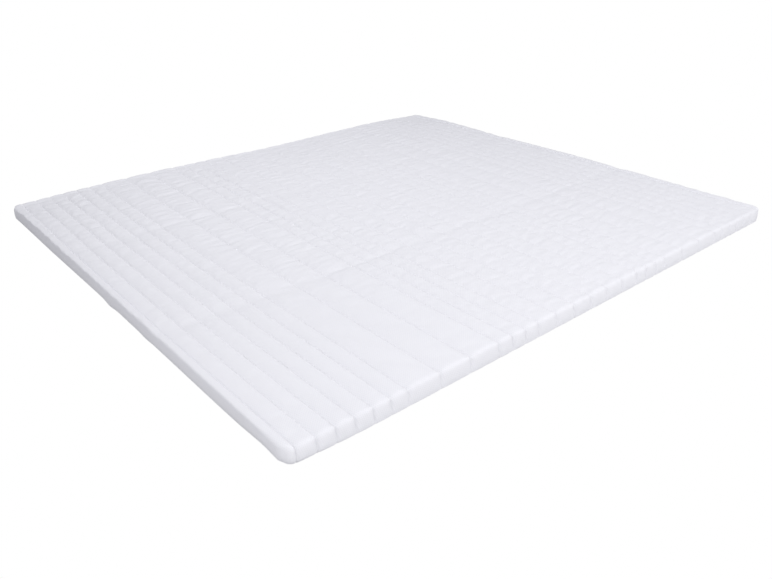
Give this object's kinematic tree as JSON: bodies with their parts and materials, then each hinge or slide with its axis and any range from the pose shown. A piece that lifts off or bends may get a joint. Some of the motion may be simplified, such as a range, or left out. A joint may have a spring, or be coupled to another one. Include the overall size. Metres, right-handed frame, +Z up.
{
  "type": "mattress topper",
  "caption": "Flat quilted mattress topper for a double bed, with straight sewn channels in bands of three widths across the pad, rounded edges and plain end walls.",
  "frame": {"origin": "middle of the flat underside, on the surface the pad lies on", "axes": "+X along the bed's 2.0 m length, +Y along the 1.8 m width and along the seams, +Z up"},
  "size_m": [2, 1.8, 0.0524],
  "materials": {
    "white_knit_cover": "matt white polyester waffle knit"
  },
  "bodies": {
    "root": {"quilted_topper": "white_knit_cover"}
  },
  "joints": []
}
